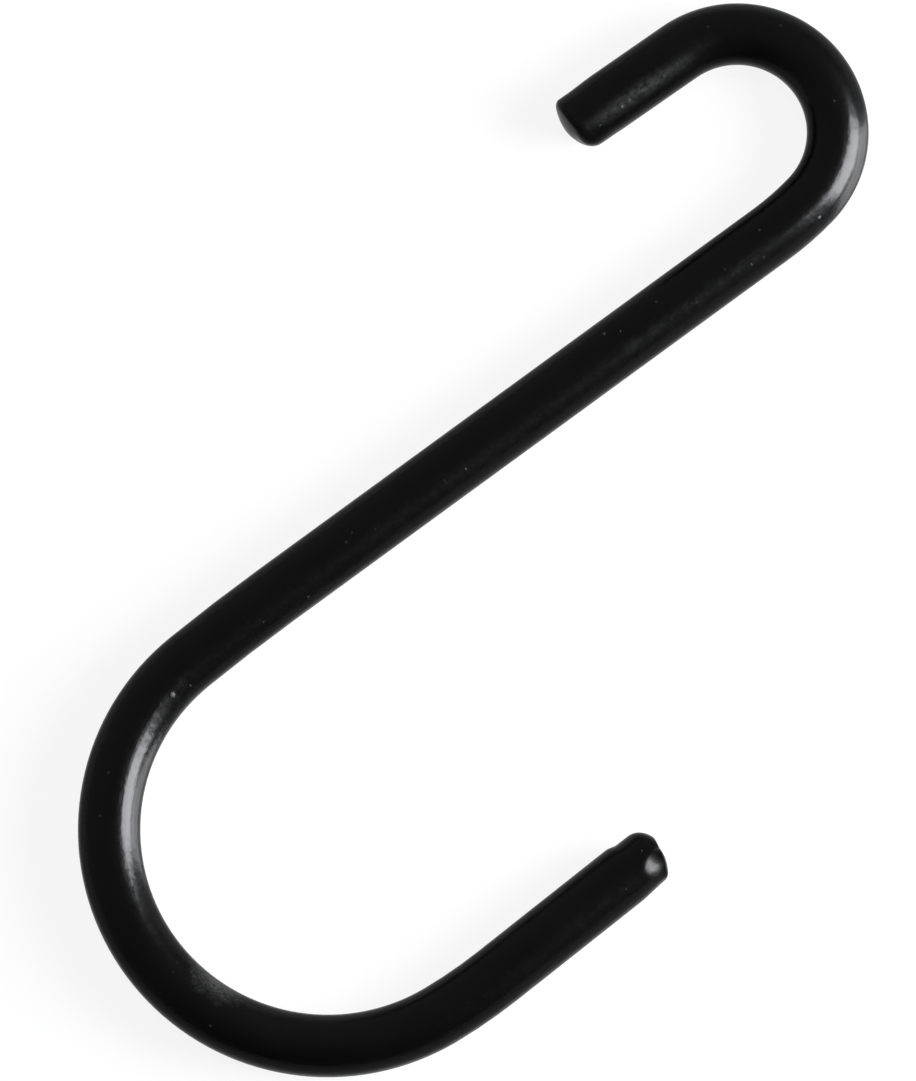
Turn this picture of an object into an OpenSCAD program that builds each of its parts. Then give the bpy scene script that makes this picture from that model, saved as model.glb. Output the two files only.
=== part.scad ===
// S hook bent from one length of round steel rod.
// It lies flat: the middle of the rod is half a rod above z = 0 all the way round. The shank
// runs along y. The small hook is at the +y end and curls to -x, and the large hook is at
// the -y end and curls to +x.

/* [Rod] */
// diameter, coating included
rod_d = 6; // [4:0.1:8]

/* [Shank] */
// straight part between the two hooks
shank_l = 59.5; // [20:0.5:200]

/* [Small hook] */
// radius to the middle of the rod where the shank begins to turn
shoulder_r = 30; // [12:1:60]
// how far the shoulder turns, degrees
shoulder_deg = 10; // [2:1:20]
// radius to the middle of the rod round the hook itself
small_r = 9.7; // [8.5:0.1:20]
// how far the hook turns, degrees
small_deg = 168.75; // [150:0.25:178]
// straight leg, from the end of the bend to the tip
small_leg = 13.3; // [6:0.1:30]

/* [Large hook] */
// radius to the middle of the rod where the bend begins
lead_r = 200; // [60:5:400]
// how far that beginning turns, degrees
lead_deg = 3; // [1:0.5:6]
// radius to the middle of the rod round the hook itself
large_r = 21; // [14:0.5:40]
// how far the hook turns, degrees
large_deg = 171.5; // [150:0.5:174]
// radius to the middle of the rod where the bend runs out
runout_r = 50; // [30:1:100]
// how far the run-out turns, degrees
runout_deg = 7.55; // [5.5:0.05:12]
// straight leg, from the end of the bend to the tip
large_leg = 20.1; // [12:0.1:40]

/* [Ends] */
// radius round the edge of each cut end
edge_r = 1.3; // [0.4:0.1:1.9]
// radius of the slight dome on each cut end
dome_r = 7; // [5:0.5:20]

/* [Hidden] */
$fn = 64;
black = [0.06, 0.06, 0.065];
rod_r = rod_d / 2;

// a cut end: how far the middle of the rounded edge is from the rod's axis, and how far it
// is below the top of the dome
edge_out = rod_r - edge_r;
edge_up = sqrt(pow(dome_r - edge_r, 2) - pow(edge_out, 2));
edge_below = dome_r - edge_up;

// a rod at p, heading d degrees round from +y: the centre of the bend it goes into, where it
// comes out of that bend, and the middle of its outer edge at the tip of a straight leg
function centre(p, d, r) = p - r * [cos(d), sin(d)];
function after(p, d, r, turn) = centre(p, d, r) + r * [cos(d + turn), sin(d + turn)];
function tip_edge(p, d, l) =
    p + (l - edge_below) * [-sin(d), cos(d)] + edge_out * [cos(d), sin(d)];

// the small hook, from the +y end of the shank
small_start = after([0, shank_l / 2], 0, shoulder_r, shoulder_deg);
small_centre = centre(small_start, shoulder_deg, small_r);
small_end = after(small_start, shoulder_deg, small_r, small_deg);
small_edge = tip_edge(small_end, shoulder_deg + small_deg, small_leg);

// the large hook, from the -y end of the shank
large_way = 180 + lead_deg;
runout_way = large_way + large_deg;
large_start = after([0, -shank_l / 2], 180, lead_r, lead_deg);
large_centre = centre(large_start, large_way, large_r);
runout_start = after(large_start, large_way, large_r, large_deg);
runout_centre = centre(runout_start, runout_way, runout_r);
large_end = after(runout_start, runout_way, runout_r, runout_deg);
large_edge = tip_edge(large_end, runout_way + runout_deg, large_leg);

// the outside of the whole hook, which puts the origin under the middle of it
x_min = min(small_edge.x - edge_r, small_centre.x - small_r - rod_r);
x_max = max(large_edge.x + edge_r, runout_centre.x + runout_r + rod_r);
y_min = large_centre.y - large_r - rod_r;
y_max = small_centre.y + small_r + rod_r;

// puts what follows at p, in a coarse step and a fine one, so that no place is rounded
module at(p) {
    coarse = [round(100 * p.x), round(100 * p.y)] / 100;
    translate(coarse) translate(p - coarse) children();
}

// a bend to the left of a rod that is at p and heads d degrees round from +y
module bend(p, d, r, turn) {
    at(centre(p, d, r))
        rotate_extrude(start = d, angle = turn)
            translate([r, 0]) circle(r = rod_r);
}

// half the section of a leg: the rod, the rounded edge of its end, and the dome on top
module leg_section(length) {
    square([rod_r, length - edge_below]);
    translate([edge_out, length - edge_below]) circle(r = edge_r);
    translate([0, length - dome_r]) intersection() {
        circle(r = dome_r);
        polygon([[0, 0], 2 * [edge_out, edge_up], [0, 2 * dome_r]]);
    }
}

// a straight leg with its rounded end, from p, heading d degrees round from +y
module leg(p, d, length) {
    at(p) rotate(d) rotate([-90, 0, 0]) rotate_extrude() leg_section(length);
}

module hook() {
    color(black)
    translate([-(x_min + x_max) / 2, -(y_min + y_max) / 2, rod_r]) {
        translate([0, -shank_l / 2, 0]) rotate([-90, 0, 0]) cylinder(r = rod_r, h = shank_l);
        bend([0, shank_l / 2], 0, shoulder_r, shoulder_deg);
        bend(small_start, shoulder_deg, small_r, small_deg);
        leg(small_end, shoulder_deg + small_deg, small_leg);
        bend([0, -shank_l / 2], 180, lead_r, lead_deg);
        bend(large_start, large_way, large_r, large_deg);
        bend(runout_start, runout_way, runout_r, runout_deg);
        leg(large_end, runout_way + runout_deg, large_leg);
    }
}

hook();
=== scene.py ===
# An S hook bent from one length of round steel rod and coated black, lying on a pale floor.
# Lengths are in metres. The hook lies flat: the middle of the rod is half a rod above the floor.
from math import atan2, cos, hypot, pi, radians, sin

import bmesh
import bpy
from mathutils import Matrix, Vector


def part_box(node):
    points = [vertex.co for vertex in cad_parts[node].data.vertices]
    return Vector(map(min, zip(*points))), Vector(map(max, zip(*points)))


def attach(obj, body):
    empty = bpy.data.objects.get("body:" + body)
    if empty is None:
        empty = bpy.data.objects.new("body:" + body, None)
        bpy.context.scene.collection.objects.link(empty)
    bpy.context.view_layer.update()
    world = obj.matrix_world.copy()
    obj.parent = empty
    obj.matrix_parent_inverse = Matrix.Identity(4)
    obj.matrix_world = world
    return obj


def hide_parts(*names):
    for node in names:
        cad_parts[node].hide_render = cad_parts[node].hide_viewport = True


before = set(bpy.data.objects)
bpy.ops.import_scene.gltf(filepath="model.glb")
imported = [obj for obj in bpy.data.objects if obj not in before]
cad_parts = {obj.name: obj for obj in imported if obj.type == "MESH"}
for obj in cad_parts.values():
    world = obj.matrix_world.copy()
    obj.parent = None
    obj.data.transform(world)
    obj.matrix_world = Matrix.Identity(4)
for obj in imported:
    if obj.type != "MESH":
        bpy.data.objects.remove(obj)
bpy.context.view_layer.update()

MM = 0.001

# the rod and its bends, each a radius to the middle of the rod and how far it turns
ROD_R = 3.0 * MM
SHANK_L = 59.5 * MM
SHOULDER_R, SHOULDER_DEG = 30.0 * MM, 10.0
SMALL_R, SMALL_DEG, SMALL_LEG = 9.7 * MM, 168.75, 13.3 * MM
LEAD_R, LEAD_DEG = 200.0 * MM, 3.0
LARGE_R, LARGE_DEG = 21.0 * MM, 171.5
RUNOUT_R, RUNOUT_DEG, LARGE_LEG = 50.0 * MM, 7.55, 20.1 * MM

# The sheared ends. Each side of an end rolls over into the cut with one radius until it has
# turned so many degrees, and with a second radius after that, to ROLLED degrees in all. Then how
# far behind the tip it meets the cut, and how far it is pinched in, from and to where behind the
# tip. Lengths in millimetres.
END_L = 5.2 * MM
ROLLED = 72.0
SMALL_TIP = {
    "left": (2.20, 72, 2.20, 0.11, 0.02, 4.6, 3.7),
    "right": (1.34, 72, 1.34, 0.06, 0.10, 5.0, 2.1),
    "top": (0.45, 64, 1.20, 0.28, 0.0, 4.0, 3.0),
    "bottom": (1.44, 72, 1.44, 0.20, 0.0, 4.0, 3.0),
}
LARGE_TIP = {
    "left": (2.50, 72, 2.50, 0.29, 0.25, 4.6, 3.7),
    "right": (1.35, 72, 1.35, 1.07, 0.22, 5.0, 2.1),
    "top": (0.335, 26, 0.155, 0.39, 0.0, 4.0, 3.0),
    "bottom": (1.80, 72, 1.80, 0.20, 0.0, 4.0, 3.0),
}
# how far the middle of each cut stands out past its rim
SMALL_CROWN, LARGE_CROWN = 0.33 * MM, 0.18 * MM

# where the cutter dragged the corner of an end, how far it went, and how far round that reaches:
# outward along the rod, to the left and up, in millimetres
SMALL_DRAG = ((-1.16, 2.38, 1.82), (0.223, 0.093, -0.314), 2.10)
LARGE_DRAG = ((-1.30, -1.76, 2.43), (0.315, 0.320, -0.325), 2.00)

# How finely the rod is meshed: steps round it, the length of a step on a straight, the degrees
# of a step in a bend, steps to an end and over its rolled edge. The last are the rings drawn on
# a cut, as shares of its rim, and how near together points are merged.
ROUND_STEPS = 72
LENGTH_STEP = 1.0 * MM
TURN_STEP = 2.5
END_STEPS = 26
ROLL_STEPS = 12
FACE_RINGS = (0.97, 0.88, 0.70, 0.45, 0.20)
MERGED = 0.005 * MM

UP = Vector((0, 0, 1))


def heading(deg):
    """Which way the rod runs, deg degrees round from +y."""
    return Vector((-sin(radians(deg)), cos(radians(deg)), 0))


def side(deg):
    """Straight out to the right of the way the rod runs."""
    return Vector((cos(radians(deg)), sin(radians(deg)), 0))


# ---------------------------------------------------------------- the walk along the rod
def walk():
    """The rod's middle line from the small tip to the large tip: straights and bends in order."""
    parts = []
    at = Vector((0, 0, 0))
    way = 180 + SHOULDER_DEG + SMALL_DEG
    along = 0.0
    for kind, size, turn in (
        ("straight", SMALL_LEG, 0),
        ("bend", SMALL_R, -SMALL_DEG),
        ("bend", SHOULDER_R, -SHOULDER_DEG),
        ("straight", SHANK_L, 0),
        ("bend", LEAD_R, LEAD_DEG),
        ("bend", LARGE_R, LARGE_DEG),
        ("bend", RUNOUT_R, RUNOUT_DEG),
        ("straight", LARGE_LEG, 0),
    ):
        part = {"kind": kind, "start": at.copy(), "way": way, "along": along, "turn": turn}
        if kind == "straight":
            part["length"] = size
            at = at + size * heading(way)
        else:
            hand = 1 if turn > 0 else -1
            part["radius"] = size
            part["hand"] = hand
            part["centre"] = at - hand * size * side(way)
            part["length"] = size * abs(radians(turn))
            way = way + turn
            at = part["centre"] + hand * size * side(way)
        along += part["length"]
        part["end"] = at.copy()
        part["end_way"] = way
        parts.append(part)
    return parts


PARTS = walk()
LENGTH = PARTS[-1]["along"] + PARTS[-1]["length"]
low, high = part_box("hook")
# the crown of the small hook touches the box at +y, and the run-out of the large hook at +x
small_bend, runout = PARTS[1], PARTS[6]
shift = Vector(
    (
        high.x - ROD_R - RUNOUT_R - runout["centre"].x,
        high.y - ROD_R - SMALL_R - small_bend["centre"].y,
        low.z + ROD_R,
    )
)
for part in PARTS:
    for name in ("start", "end", "centre"):
        if name in part:
            part[name] = part[name] + shift


# ---------------------------------------------------------------- the hook, in edit mode
def pick(piece, kind, wanted):
    """In edit mode, selects the vertices, edges or faces that wanted says yes to."""
    bpy.ops.mesh.select_all(action="DESELECT")
    bpy.ops.mesh.select_mode(type=kind)
    mesh = bmesh.from_edit_mesh(piece.data)
    for element in {"VERT": mesh.verts, "EDGE": mesh.edges, "FACE": mesh.faces}[kind]:
        element.select_set(wanted(element))
    mesh.select_flush_mode()
    bmesh.update_edit_mesh(piece.data)


def extrude(move):
    bpy.ops.mesh.extrude_region_move(TRANSFORM_OT_translate={"value": tuple(move)})


def ease(x):
    x = min(1.0, max(0.0, x))
    return x * x * (3 - 2 * x)


def side_of_end(form, stage, share):
    """How far behind the tip a ring is on one side, and how far out from the middle of the rod."""
    roll, until, edge, flat, pinch, begins, ends = form
    until, rolled = radians(until), radians(ROLLED)
    turned = {"leg": 0, "roll": rolled * share, "cut": rolled}[stage]
    first, second = min(turned, until), max(turned, until)
    behind = flat + roll * (sin(until) - sin(first)) + edge * (sin(rolled) - sin(second))
    out = -roll * (1 - cos(first)) - edge * (cos(until) - cos(second))
    if stage == "leg":
        behind = END_L / MM + (behind - END_L / MM) * share
    out -= pinch * ease((begins - behind) / (begins - ends))
    return behind * MM, ROD_R + out * MM


def end_rings(end, way, forms, crown):
    """The rings of a sheared end, from where it leaves the leg to near the middle of the cut."""
    left = -side(way)
    stages = [("leg", i / END_STEPS) for i in range(END_STEPS + 1)]
    stages += [("roll", i / ROLL_STEPS) for i in range(1, ROLL_STEPS + 1)]
    stages += [("cut", share) for share in FACE_RINGS]
    rings = []
    for stage, share in stages:
        sides = {name: side_of_end(form, stage, share) for name, form in forms.items()}
        if stage == "cut":
            middle = sum(behind for behind, out in sides.values()) / 4
            for name, (behind, out) in sides.items():
                behind = middle + (behind - middle) * share - crown * (1 - share**2)
                sides[name] = (behind, out * share)
        (left_in, left_out), (right_in, right_out) = sides["left"], sides["right"]
        (top_in, top_out), (bottom_in, bottom_out) = sides["top"], sides["bottom"]
        behind = (left_in + right_in + top_in + bottom_in) / 4
        middle = end - behind * heading(way)
        middle += (left_out - right_out) / 2 * left + (top_out - bottom_out) / 2 * UP
        yaw = atan2(left_in - right_in, left_out + right_out)
        pitch = atan2(bottom_in - top_in, top_out + bottom_out) * (1 if left.x > 0 else -1)
        rings.append(
            {
                "middle": middle,
                "wide": (left_out + right_out) / 2 / cos(yaw),
                "tall": (top_out + bottom_out) / 2 / cos(pitch),
                "yaw": yaw,
                "pitch": pitch,
            }
        )
    return rings


def shear_end(end, way, forms, crown):
    """Draws the open end that is selected through its rings, and closes it."""
    rings = end_rings(end, way, forms, crown)
    for last, ring in zip(rings, rings[1:]):
        extrude(ring["middle"] - last["middle"])
        lie = Matrix.Rotation(last["pitch"], 3, "X")
        lie = lie @ Matrix.Rotation(last["yaw"] + radians(way), 3, "Z")
        bpy.ops.transform.resize(
            value=(ring["wide"] / last["wide"], 1, ring["tall"] / last["tall"]),
            orient_type="GLOBAL",
            orient_matrix=lie,
            orient_matrix_type="GLOBAL",
            center_override=ring["middle"],
        )
        for axis, turn in (("Z", "yaw"), ("X", "pitch")):
            bpy.ops.transform.rotate(
                value=last[turn] - ring[turn], orient_axis=axis, center_override=ring["middle"]
            )
    extrude((0, 0, 0))
    bpy.ops.mesh.merge(type="CENTER")


def drag(piece, end, way, form):
    """Moves the corner of an end, and what is round it less and less."""
    place, move, reach = form
    outward, left = heading(way), -side(way)
    spot = end + (place[0] * outward + place[1] * left + place[2] * UP) * MM
    mesh = bmesh.from_edit_mesh(piece.data)
    nearest = min(mesh.verts, key=lambda vert: (vert.co - spot).length).index
    pick(piece, "VERT", lambda vert: vert.index == nearest)
    bpy.ops.transform.translate(
        value=(move[0] * outward + move[1] * left + move[2] * UP) * MM,
        use_proportional_edit=True,
        proportional_edit_falloff="SMOOTH",
        proportional_size=reach * MM,
    )


def straight(length, way):
    steps = max(1, round(length / LENGTH_STEP))
    for _ in range(steps):
        extrude(length / steps * heading(way))


def make_hook():
    first, last = PARTS[0], PARTS[-1]
    bpy.ops.object.select_all(action="DESELECT")
    bpy.ops.mesh.primitive_circle_add(
        vertices=ROUND_STEPS,
        radius=ROD_R,
        location=first["start"] + END_L * heading(first["way"]),
        rotation=(radians(90), 0, radians(first["way"])),
    )
    hook = bpy.context.object
    hook.name = "bent_rod"
    bpy.ops.object.transform_apply(location=True, rotation=True, scale=True)
    bpy.ops.object.mode_set(mode="EDIT")
    bpy.ops.mesh.select_mode(type="VERT")
    bpy.ops.mesh.select_all(action="SELECT")
    for part in PARTS:
        if part["kind"] == "straight":
            straight(part["length"] - (END_L if part in (first, last) else 0), part["way"])
        else:
            bpy.ops.mesh.spin(
                steps=max(2, round(abs(part["turn"]) / TURN_STEP)),
                angle=-radians(part["turn"]),
                center=part["centre"],
                axis=UP,
            )
    shear_end(last["end"], last["end_way"], LARGE_TIP, LARGE_CROWN)
    bpy.ops.mesh.select_all(action="DESELECT")
    bpy.ops.mesh.select_non_manifold(
        extend=False, use_wire=False, use_boundary=True, use_multi_face=False,
        use_non_contiguous=False, use_verts=False,
    )
    shear_end(first["start"], first["way"] + 180, SMALL_TIP, SMALL_CROWN)
    bpy.ops.mesh.select_all(action="SELECT")
    bpy.ops.mesh.remove_doubles(threshold=MERGED)
    drag(hook, last["end"], last["end_way"], LARGE_DRAG)
    drag(hook, first["start"], first["way"] + 180, SMALL_DRAG)
    bpy.ops.mesh.select_all(action="SELECT")
    bpy.ops.mesh.normals_make_consistent(inside=False)
    bpy.ops.object.mode_set(mode="OBJECT")
    bpy.ops.object.shade_smooth()
    return hook


# ---------------------------------------------------------------- the coating
# the clean coating, and the grey of the dust and rubbed coating that lie on it, which also paints
# the highlight along the streak and the smudges
BLACK = (0.0022, 0.0022, 0.0023)
DUST_AND_HIGHLIGHT_GREY = (0.26, 0.26, 0.25, 1)
COAT_IOR = 1.4
COAT_ROUGHNESS = 0.235

# The coating's cloudy patterns: how many clouds to a millimetre across the rod, along it and up,
# and how many times finer clouds are laid over them.
CLOUDS = {
    "waves": ((0.8, 0.12, 0.8), 2),
    "lumps": ((1.6, 1.2, 1.6), 3),
    "lines": ((5.0, 0.25, 5.0), 2),
    "grain": ((7.0, 7.0, 7.0), 1),
    "blotches": ((0.35, 0.12, 0.35), 3),
    "mottle": ((2.2, 1.5, 2.2), 4),
    "rub": ((5.0, 3.6, 5.0), 3),
}
# how much the lumps change the roughness, and the blotches the shade
ROUGHNESS_VARIES = 0.10
SHADE_VARIES = 1.2
# how high each pattern of the surface stands, in millimetres
WAVES_TALL, LUMPS_TALL, LINES_TALL, GRAIN_TALL, SPECK_TALL = 0.050, 0.026, 0.007, 0.003, 0.20
# towards an end the coating has pooled: the waves and lumps fade between these, to this share
POOLED = (0.8, 4.0)
POOLED_SHARE = 0.25

# Marks on the coating: millimetres along the rod, degrees round it from up, half the length and
# half the width in millimetres, how far it leans off the rod, how pale (dust, and on the streak
# and the smudges painted highlight as well), how much duller than the rest, and its kind.
MARKS = (
    (7.4, 27, 8.5, 1.30, 0, 0.105, 0.05, "mottled"),  # the streak on the small leg: dust, and a painted highlight along it
    (15.4, 18, 2.6, 1.10, 0, 0.016, 0.02, "mottled"),  # and its faint end in the bend, dust and painted highlight
    (62.1, -22, 0.8, 0.85, 0, 0.022, 0.03, "mottled"),  # two smudges on the shank: dust, and painted lumps in its highlight
    (64.7, -22, 1.2, 0.95, 0, 0.028, 0.03, "mottled"),
    (87.1, -22, 0.13, 0.46, -10, 0.050, 0.05, "mottled"),  # a bit of lint across the shank
    (155.8, -67, 4.3, 3.10, 3, 0.232, 0.12, "rubbed"),  # the scuff inside the wide bend
)
# The kinds of mark: which pattern frays its edge and how much, and which pattern breaks up its
# paleness (dust, and on the streak and smudges painted highlight), between none and all of it.
MARK_KINDS = {
    "mottled": ("mottle", 1.1, "mottle", (-0.16, 0.24)),
    "rubbed": ("lumps", 0.65, "rub", (-0.27, 0.16)),
}
# from where, as a share of the way out from its middle, a mark fades, and to where
MARK_EDGE = (0.15, 1.05)

# the worn rims of the two ends: how far behind the tip, how far out from the rod's middle, where
# the rub pattern leaves dust on them, how dusty and how much duller
RIM_BACK = (1.7, 0.7)
RIM_OUT = (1.7, 2.5)
RIM_FLECKS = (-0.02, 0.16)
RIM_DUSTY, RIM_DULLER = 0.016, 0.03

# specks of dust: millimetres along the rod, degrees round it from up, half width, how pale
SPECKS = (
    (120.9, -30, 0.34, 0.24), (118.8, -44, 0.18, 0.07), (84.8, -27, 0.16, 0.065),
    (98.3, -5, 0.19, 0.08), (95.3, -17, 0.17, 0.035), (97.3, 3, 0.17, 0.05),
    (66.2, 28, 0.22, 0.40), (64.8, 12, 0.17, 0.20), (60.3, 17, 0.16, 0.12),
    (57.2, -30, 0.16, 0.028), (53.1, -9, 0.16, 0.05), (50.7, -33, 0.19, 0.06),
    (49.3, -36, 0.16, 0.045), (48.1, 12, 0.17, 0.15), (42.9, -44, 0.21, 0.19),
    (32.0, 2, 0.18, 0.11), (16.5, -10, 0.18, 0.075), (23.1, -21, 0.17, 0.07),
    (5.2, 33, 0.28, 0.075), (2.5, 39, 0.19, 0.08), (1.3, 28, 0.16, 0.035),
    (6.1, 30, 0.28, 0.05), (7.7, 31, 0.20, 0.02), (9.2, 34, 0.20, 0.04),
    (10.3, 31, 0.26, 0.05), (12.0, 24, 0.22, 0.03), (130.7, 12, 0.18, 0.13),
    (134.8, 16, 0.19, 0.15), (157.6, 28, 0.18, 0.15), (151.2, -28, 0.15, 0.022),
    (151.7, -10, 0.15, 0.04), (109.3, -35, 0.16, 0.06), (104.3, -49, 0.19, 0.10),
    (204.6, -10, 0.17, 0.13), (201.1, 28, 0.17, 0.05),
)
# how much the grain frays a speck, the share of its width at which it is palest, its dullness
SPECK_RAGGED = 0.22
SPECK_CORE = 0.2
SPECK_DULL = 0.8

# fine dust on the underside: how many crumbs to a millimetre, how far from its middle a crumb
# fades and where it is full, how far up the rod they begin and where they are full, how pale
CRUMBS_PER_MM = 0.42
CRUMB_SIZE = (0.13, 0.05)
CRUMBS_BELOW = (0.2, -0.8)
CRUMB_PALE = 0.25


def straightened(point):
    """A place on the hook as if the rod were straight: across, along and up from its middle."""
    found = []
    for part in PARTS:
        if part["kind"] == "straight":
            rel = point - part["start"]
            along, across = rel.dot(heading(part["way"])), rel.dot(side(part["way"]))
        else:
            hand, radius = part["hand"], part["radius"]
            rel = point - part["centre"]
            out = hand * side(part["way"])
            turned = hand * atan2(out.x * rel.y - out.y * rel.x, out.x * rel.x + out.y * rel.y)
            along, across = turned * radius, hand * (hypot(rel.x, rel.y) - radius)
        beyond = max(-along, along - part["length"], 0)
        found.append((beyond + abs(across), across, part["along"] + along))
    near, across, along = min(found)
    return across, along, point.z - low.z - ROD_R


def node(tree, kind, place, **settings):
    n = tree.nodes.new(kind)
    n.location = place
    for name, value in settings.items():
        setattr(n, name, value)
    return n


def sums(tree, operation, a, b, place):
    """A Math node: a and b are each a number or an output socket."""
    n = node(tree, "ShaderNodeMath", place, operation=operation)
    for socket, value in zip(n.inputs, (a, b)):
        if isinstance(value, (int, float)):
            socket.default_value = value
        else:
            tree.links.new(value, socket)
    return n.outputs[0]


def vectors(tree, operation, a, b, place):
    """A Vector Math node on a socket and three numbers or a second socket."""
    n = node(tree, "ShaderNodeVectorMath", place, operation=operation)
    tree.links.new(a, n.inputs[0])
    if isinstance(b, tuple):
        n.inputs[1].default_value = b
    else:
        tree.links.new(b, n.inputs[1])
    return n.outputs["Value" if operation == "DISTANCE" else "Vector"]


def noise(tree, where, scale, detail, place):
    """Cloudy noise about nothing, from -0.5 to 0.5, with so many clouds a millimetre each way."""
    n = node(tree, "ShaderNodeTexNoise", place)
    n.inputs["Scale"].default_value = 1.0
    n.inputs["Detail"].default_value = detail
    stretched = vectors(tree, "MULTIPLY", where, scale, (place[0] - 180, place[1]))
    tree.links.new(stretched, n.inputs["Vector"])
    return sums(tree, "SUBTRACT", n.outputs[0], 0.5, (place[0] + 180, place[1]))


def ramp(tree, value, ends, place):
    """0 at the first of the ends and before it, 1 at the second and past it, smooth between."""
    n = node(tree, "ShaderNodeMapRange", place, interpolation_type="SMOOTHSTEP")
    n.inputs["From Min"].default_value = ends[0]
    n.inputs["From Max"].default_value = ends[1]
    tree.links.new(value, n.inputs["Value"])
    return n.outputs[0]


def most(tree, values, place):
    """The greatest of several sockets."""
    total = values[0]
    for number, value in enumerate(values[1:]):
        total = sums(tree, "MAXIMUM", total, value, (place[0], place[1] - 60 * number))
    return total


def on_the_rod(along, round_deg):
    """A place on the rod's surface, unrolled: millimetres along it and round it."""
    return (along, radians(round_deg) * ROD_R / MM, 0)


def rod_places(tree):
    """Sockets, all in millimetres, that say where on the rod a point of its surface is."""
    rod = node(tree, "ShaderNodeAttribute", (-2600, 0), attribute_name="rod")
    to_mm = (1 / MM, 1 / MM, 1 / MM)
    in_mm = vectors(tree, "MULTIPLY", rod.outputs["Vector"], to_mm, (-2400, 0))
    split = node(tree, "ShaderNodeSeparateXYZ", (-2200, 0))
    tree.links.new(in_mm, split.inputs[0])
    across, along, up = split.outputs
    angle = sums(tree, "ARCTAN2", across, up, (-2000, 0))
    unrolled = node(tree, "ShaderNodeCombineXYZ", (-1680, 0))
    tree.links.new(along, unrolled.inputs[0])
    tree.links.new(sums(tree, "MULTIPLY", angle, ROD_R / MM, (-1840, 0)), unrolled.inputs[1])
    from_other_end = sums(tree, "SUBTRACT", LENGTH / MM, along, (-2000, -160))
    section = vectors(tree, "MULTIPLY", in_mm, (1, 0, 1), (-2200, -320))
    return {
        "straight": in_mm,
        "up": up,
        "unrolled": unrolled.outputs[0],
        "from end": sums(tree, "MINIMUM", along, from_other_end, (-1840, -160)),
        "from middle": vectors(tree, "DISTANCE", section, (0, 0, 0), (-2000, -320)),
    }


def one_mark(tree, rod, frayed, form, place):
    """How far a spot is inside a long mark: 1 in the middle, 0 outside."""
    along, round_deg, half_length, half_width, lean = form
    x, y = place
    middle = on_the_rod(along, round_deg)
    off = vectors(tree, "SUBTRACT", rod["unrolled"], middle, (x - 160, y))
    turn = node(tree, "ShaderNodeVectorRotate", (x, y), rotation_type="Z_AXIS")
    turn.inputs["Angle"].default_value = -radians(lean)
    tree.links.new(off, turn.inputs["Vector"])
    shrink = (1 / half_length, 1 / half_width, 0)
    off = vectors(tree, "MULTIPLY", turn.outputs["Vector"], shrink, (x + 160, y))
    far = vectors(tree, "DISTANCE", off, (0, 0, 0), (x + 320, y))
    far = sums(tree, "ADD", far, frayed, (x + 480, y))
    return sums(tree, "SUBTRACT", 1, ramp(tree, far, MARK_EDGE, (x + 640, y)), (x + 800, y))


def marks(tree, rod, clouds):
    """The streak, the smudges, the lint and the scuff: how pale each is, with dust, and on the
    streak and the smudges painted highlight too, and how dull.
    """
    frays, patches = {}, {}
    for number, (kind, (edge, share, inner, ends)) in enumerate(MARK_KINDS.items()):
        y = 400 - 300 * number
        frays[kind] = sums(tree, "MULTIPLY", clouds[edge], share, (-1000, y))
        patches[kind] = ramp(tree, clouds[inner], ends, (-1000, y - 150))
    dusts_and_highlights, dulls = [], []
    for number, (*form, paleness, duller, kind) in enumerate(MARKS):
        y = -200 - 200 * number
        inside = one_mark(tree, rod, frays[kind], form, (-1000, y))
        patchy = sums(tree, "MULTIPLY", inside, patches[kind], (0, y))
        # on the streak and the smudges this paleness is painted highlight as well as dust
        dusts_and_highlights.append(sums(tree, "MULTIPLY", patchy, paleness, (160, y)))
        dulls.append(sums(tree, "MULTIPLY", inside, duller, (160, y - 90)))
    return dusts_and_highlights, dulls


def worn_rims(tree, rod, clouds):
    """The rims of the two cut ends: how dusty they are, and how dull."""
    back = ramp(tree, rod["from end"], RIM_BACK, (-1000, -1500))
    out = ramp(tree, rod["from middle"], RIM_OUT, (-1000, -1650))
    rim = sums(tree, "MULTIPLY", back, out, (-800, -1500))
    flecks = ramp(tree, clouds["rub"], RIM_FLECKS, (-800, -1650))
    worn = sums(tree, "MULTIPLY", rim, flecks, (-600, -1500))
    paleness = sums(tree, "MULTIPLY", worn, RIM_DUSTY, (-400, -1500))
    return paleness, sums(tree, "MULTIPLY", rim, RIM_DULLER, (-400, -1600))


def one_speck(tree, rod, frayed, form, place):
    """A ragged round spot, as pale as its dust."""
    along, round_deg, half, pale = form
    x, y = place
    far = vectors(tree, "DISTANCE", rod["unrolled"], on_the_rod(along, round_deg), (x, y))
    far = sums(tree, "ADD", far, frayed, (x + 160, y))
    spot = ramp(tree, far, (half, half * SPECK_CORE), (x + 320, y))
    return sums(tree, "MULTIPLY", spot, pale, (x + 480, y))


def specks_and_crumbs(tree, rod, clouds):
    """The specks of dust, each at its place, and the fine dust underneath."""
    frayed = sums(tree, "MULTIPLY", clouds["grain"], SPECK_RAGGED, (-1000, -1800))
    specks = [
        one_speck(tree, rod, frayed, form, (-1000, -1900 - 60 * number))
        for number, form in enumerate(SPECKS)
    ]
    cells = node(tree, "ShaderNodeTexVoronoi", (-1400, -4300))
    cells.inputs["Scale"].default_value = CRUMBS_PER_MM
    tree.links.new(rod["straight"], cells.inputs["Vector"])
    crumbs = ramp(tree, cells.outputs["Distance"], CRUMB_SIZE, (-1200, -4300))
    beneath = ramp(tree, rod["up"], CRUMBS_BELOW, (-1200, -4450))
    crumbs = sums(tree, "MULTIPLY", crumbs, beneath, (-1000, -4300))
    specks.append(sums(tree, "MULTIPLY", crumbs, CRUMB_PALE, (-840, -4300)))
    return most(tree, specks, (-300, -1900))


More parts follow.
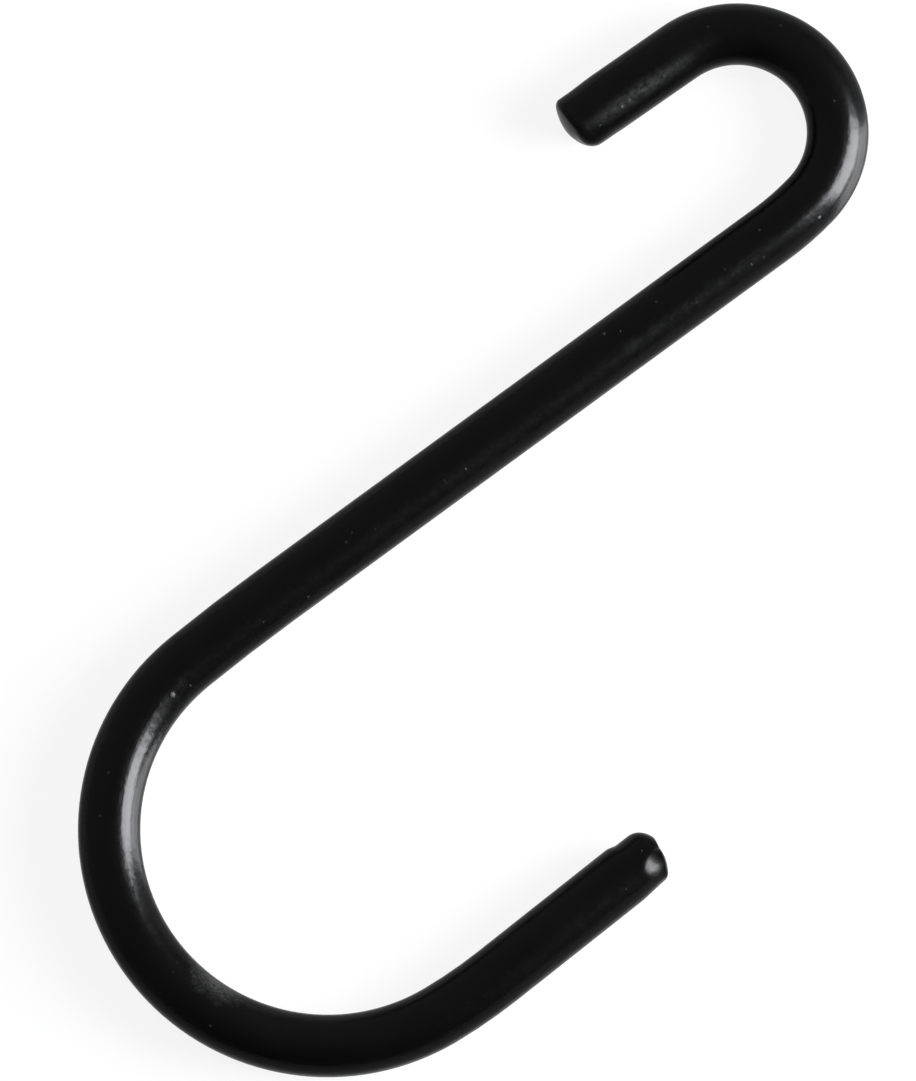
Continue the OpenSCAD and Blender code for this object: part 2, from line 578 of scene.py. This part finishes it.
def coating_colour(tree, clouds, paleness):
    """Black in faint blotches, with the grey of the dust over it, and of the painted highlight
    along the streak and the smudges.
    """
    shade = sums(tree, "MULTIPLY", clouds["blotches"], SHADE_VARIES, (-1000, 500))
    shade = sums(tree, "ADD", shade, 1.0, (-840, 500))
    black = node(tree, "ShaderNodeVectorMath", (-680, 500), operation="SCALE")
    black.inputs[0].default_value = BLACK
    tree.links.new(shade, black.inputs["Scale"])
    colour = node(tree, "ShaderNodeMix", (700, 100), data_type="RGBA")
    tree.links.new(paleness, colour.inputs["Factor"])
    tree.links.new(black.outputs[0], colour.inputs["A"])
    colour.inputs["B"].default_value = DUST_AND_HIGHLIGHT_GREY
    return colour.outputs["Result"]


def coating_roughness(tree, clouds, duller, specks):
    rough = sums(tree, "MULTIPLY", clouds["lumps"], ROUGHNESS_VARIES, (-1000, 1000))
    rough = sums(tree, "ADD", rough, COAT_ROUGHNESS, (-840, 1000))
    rough = sums(tree, "ADD", rough, duller, (600, -300))
    speck_dull = sums(tree, "MULTIPLY", specks, SPECK_DULL, (600, -450))
    return sums(tree, "ADD", rough, speck_dull, (760, -300))


def coating_height(tree, rod, clouds, specks):
    """How high the surface stands, in millimetres."""
    pooled = ramp(tree, rod["from end"], POOLED, (-1000, 1500))
    pooled = sums(tree, "MULTIPLY", pooled, 1 - POOLED_SHARE, (-840, 1500))
    pooled = sums(tree, "ADD", pooled, POOLED_SHARE, (-680, 1500))
    waves = sums(tree, "MULTIPLY", clouds["waves"], pooled, (-520, 1400))
    lumps = sums(tree, "MULTIPLY", clouds["lumps"], pooled, (-520, 1200))
    height = sums(tree, "MULTIPLY", waves, WAVES_TALL, (-300, 1400))
    for number, (layer, tall) in enumerate(
        (
            (lumps, LUMPS_TALL),
            (clouds["lines"], LINES_TALL),
            (clouds["grain"], GRAIN_TALL),
            (specks, SPECK_TALL),
        )
    ):
        y = 1200 - 160 * number
        layer = sums(tree, "MULTIPLY", layer, tall, (-300, y))
        height = sums(tree, "ADD", height, layer, (-100, y))
    return height


def black_coating():
    """Black dip coating: slightly wavy, faintly drawn along the rod, with dust and rubs on it, and
    a painted highlight along the streak and the smudges.
    """
    m = bpy.data.materials.new("black_coating")
    m.use_nodes = True
    tree = m.node_tree
    coat = tree.nodes["Principled BSDF"]
    coat.inputs["IOR"].default_value = COAT_IOR

    rod = rod_places(tree)
    clouds = {
        name: noise(tree, rod["straight"], scale, detail, (-1400, 1300 - 200 * number))
        for number, (name, (scale, detail)) in enumerate(CLOUDS.items())
    }
    dusts_and_highlights, dulls = marks(tree, rod, clouds)
    rim_dust, rim_dull = worn_rims(tree, rod, clouds)
    specks = specks_and_crumbs(tree, rod, clouds)

    # the grey over the black: dust, rubs and specks, and the painted highlight of the streak and
    # the smudges
    paleness = most(tree, dusts_and_highlights + [rim_dust, specks], (400, -300))
    tree.links.new(coating_colour(tree, clouds, paleness), coat.inputs["Base Color"])
    duller = most(tree, dulls + [rim_dull], (400, -900))
    rough = coating_roughness(tree, clouds, duller, specks)
    tree.links.new(rough, coat.inputs["Roughness"])
    bump = node(tree, "ShaderNodeBump", (400, 700))
    bump.inputs["Distance"].default_value = MM
    tree.links.new(coating_height(tree, rod, clouds, specks), bump.inputs["Height"])
    tree.links.new(bump.outputs["Normal"], coat.inputs["Normal"])
    return m


hook = make_hook()
places = hook.data.attributes.new("rod", "FLOAT_VECTOR", "POINT")
places.data.foreach_set("vector", [c for v in hook.data.vertices for c in straightened(v.co)])
hook.data.materials.append(black_coating())
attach(hook, "root")
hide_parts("hook")


# ---------------------------------------------------------------- floor, lamp, world and camera
# the line of sight, in degrees: turned round the vertical, tilted from it, and a trace of roll
SIGHT_TURN, SIGHT_TILT, SIGHT_ROLL = 53.483, 9.752, -0.154
# how far right of the shank's middle and above it the view is centred, and how far back the
# camera stands
AIM_RIGHT, AIM_UP = -6.316 * MM, -12.130 * MM
CAMERA_BACK = 1157.849 * MM
LENS, SENSOR = 399.63, 36
SEEN_FROM, SEEN_TO = 0.05, 20

SIGHT = (
    Matrix.Rotation(radians(SIGHT_TURN), 4, "Z")
    @ Matrix.Rotation(radians(SIGHT_TILT), 4, "X")
    @ Matrix.Rotation(radians(SIGHT_ROLL), 4, "Y")
)
SHANK = PARTS[3]
SHANK_MIDDLE = (SHANK["start"] + SHANK["end"]) / 2
AIM = Matrix.Translation(SHANK_MIDDLE) @ SIGHT @ Matrix.Translation((AIM_RIGHT, AIM_UP, 0))

# a round floor with a low wall round it and a cove between
FLOOR_R, WALL_H, COVE_R = 4.0, 0.28, 0.2
FLOOR_GAP = 0.02 * MM
FLOOR_ROUND_STEPS, COVE_STEPS = 96, 8
FACES_UP = 0.9

# the board: its colour under the gloss, the gloss, and how strongly it shines straight up
FLOOR_COLOUR = 0.18
FLOOR_ROUGHNESS, FLOOR_IOR = 0.05, 2.0
FLOOR_GLOW = 0.88
# what of that shows in the hook's gloss: the share straight on, how fast it falls, the least
GLOSS_SHARE = 0.58
GLOW_FALL_OFF = 3.0
GLOW_LEAST = 0.10

# The key lamp: degrees off the line of sight and round it, how far back it stands, its width
# and height, how far it is turned about its own middle, how bright its face is, its colour.
KEY_OFF, KEY_ROUND, KEY_BACK = 65.93, 3.2, 0.533
KEY_W, KEY_H, KEY_TURN = 0.400, 0.352, -16.9
KEY_RADIANCE, KEY_COLOUR = 16.0, (0.945, 0.965, 1.0)

# the light from all round: its level, how it grows to the right, upwards and towards the camera
# in the view, and the least it comes to
FILL_LEVEL = 0.09
FILL_LEAN = (-0.089, 0.084, -0.004)
FILL_LEAST = 0.03


def floor_finish():
    """White board under clear gloss, lit from within: it shines straight up most."""
    m = bpy.data.materials.new("white_board")
    m.use_nodes = True
    tree = m.node_tree
    board = tree.nodes["Principled BSDF"]
    board.inputs["Base Color"].default_value = (FLOOR_COLOUR, FLOOR_COLOUR, FLOOR_COLOUR, 1)
    board.inputs["Roughness"].default_value = FLOOR_ROUGHNESS
    board.inputs["IOR"].default_value = FLOOR_IOR
    board.inputs["Emission Color"].default_value = (1, 1, 1, 1)
    ray = node(tree, "ShaderNodeLightPath", (-900, 0))
    slant = node(tree, "ShaderNodeLayerWeight", (-900, -400))
    upright = node(tree, "ShaderNodeCombineXYZ", (-1100, -400))
    upright.inputs["Z"].default_value = 1
    tree.links.new(upright.outputs["Vector"], slant.inputs["Normal"])
    straight_on = sums(tree, "SUBTRACT", 1.0, slant.outputs["Facing"], (-700, -400))
    falling = sums(tree, "POWER", straight_on, GLOW_FALL_OFF, (-540, -400))
    weaker = sums(tree, "MULTIPLY", falling, GLOSS_SHARE, (-460, -300))
    weaker = sums(tree, "MAXIMUM", weaker, GLOW_LEAST, (-420, -300))
    in_gloss = sums(tree, "MULTIPLY", weaker, ray.outputs["Is Glossy Ray"], (-380, -300))
    camera_ray, through_ray = ray.outputs["Is Camera Ray"], ray.outputs["Is Transmission Ray"]
    seen = sums(tree, "MAXIMUM", camera_ray, through_ray, (-380, 0))
    shown = sums(tree, "MAXIMUM", seen, in_gloss, (-220, -100))
    glow = sums(tree, "MULTIPLY", shown, FLOOR_GLOW, (-60, -100))
    tree.links.new(glow, board.inputs["Emission Strength"])
    return m


def make_floor():
    """A round floor that curls up at its edge into a low wall."""
    bpy.ops.object.select_all(action="DESELECT")
    bpy.ops.mesh.primitive_cylinder_add(
        vertices=FLOOR_ROUND_STEPS,
        radius=FLOOR_R,
        depth=WALL_H,
        location=(0, 0, low.z - FLOOR_GAP + WALL_H / 2),
    )
    floor = bpy.context.object
    floor.name = "floor"
    bpy.ops.object.transform_apply(location=True, rotation=True, scale=True)
    bpy.ops.object.mode_set(mode="EDIT")
    pick(floor, "FACE", lambda face: face.normal.z > FACES_UP)
    bpy.ops.mesh.delete(type="FACE")
    pick(floor, "EDGE", lambda edge: all(v.co.z < low.z for v in edge.verts))
    bpy.ops.mesh.bevel(offset=COVE_R, segments=COVE_STEPS, affect="EDGES")
    bpy.ops.mesh.select_all(action="SELECT")
    bpy.ops.mesh.flip_normals()
    bpy.ops.object.mode_set(mode="OBJECT")
    floor.data.materials.append(floor_finish())


def make_key():
    """The key: a soft, nearly square lamp that faces the middle of the view."""
    off, turned, turn = radians(KEY_OFF), radians(KEY_ROUND), radians(KEY_TURN)
    toward = Vector((sin(off) * cos(turned), sin(off) * sin(turned), cos(off)))
    across = Vector((cos(off) * cos(turned), cos(off) * sin(turned), -sin(off)))
    upward = Vector((-sin(turned), cos(turned), 0))
    x_axis = across * cos(turn) + upward * sin(turn)
    y_axis = upward * cos(turn) - across * sin(turn)
    data = bpy.data.lights.new("key", "AREA")
    data.shape = "RECTANGLE"
    data.size, data.size_y = KEY_W, KEY_H
    data.energy = KEY_RADIANCE * pi * KEY_W * KEY_H
    data.color = KEY_COLOUR
    lamp = bpy.data.objects.new("key", data)
    face = Matrix((x_axis, y_axis, toward)).transposed().to_4x4()
    lamp.matrix_world = AIM @ Matrix.Translation(toward * KEY_BACK) @ face
    bpy.context.scene.collection.objects.link(lamp)


def make_world():
    """Dim light from all round, a little more of it from the upper left of the view."""
    world = bpy.data.worlds.new("studio")
    world.use_nodes = True
    tree = world.node_tree
    sky = tree.nodes["Background"]
    sky.inputs["Color"].default_value = (1, 1, 1, 1)
    place = node(tree, "ShaderNodeTexCoord", (-800, 0))
    lean = node(tree, "ShaderNodeVectorMath", (-600, 0), operation="DOT_PRODUCT")
    lean.inputs[1].default_value = SIGHT.to_3x3() @ Vector(FILL_LEAN)
    tree.links.new(place.outputs["Generated"], lean.inputs[0])
    light = sums(tree, "ADD", lean.outputs["Value"], FILL_LEVEL, (-400, 0))
    light = sums(tree, "MAXIMUM", light, FILL_LEAST, (-200, 0))
    tree.links.new(light, sky.inputs["Strength"])
    bpy.context.scene.world = world


def make_camera():
    data = bpy.data.cameras.new("camera")
    data.lens = LENS
    data.sensor_width = SENSOR
    data.clip_start, data.clip_end = SEEN_FROM, SEEN_TO
    camera = bpy.data.objects.new("camera", data)
    camera.matrix_world = AIM @ Matrix.Translation((0, 0, CAMERA_BACK))
    bpy.context.scene.collection.objects.link(camera)
    bpy.context.scene.camera = camera


make_floor()
make_key()
make_world()
make_camera()
bpy.context.scene.view_settings.view_transform = "Standard"
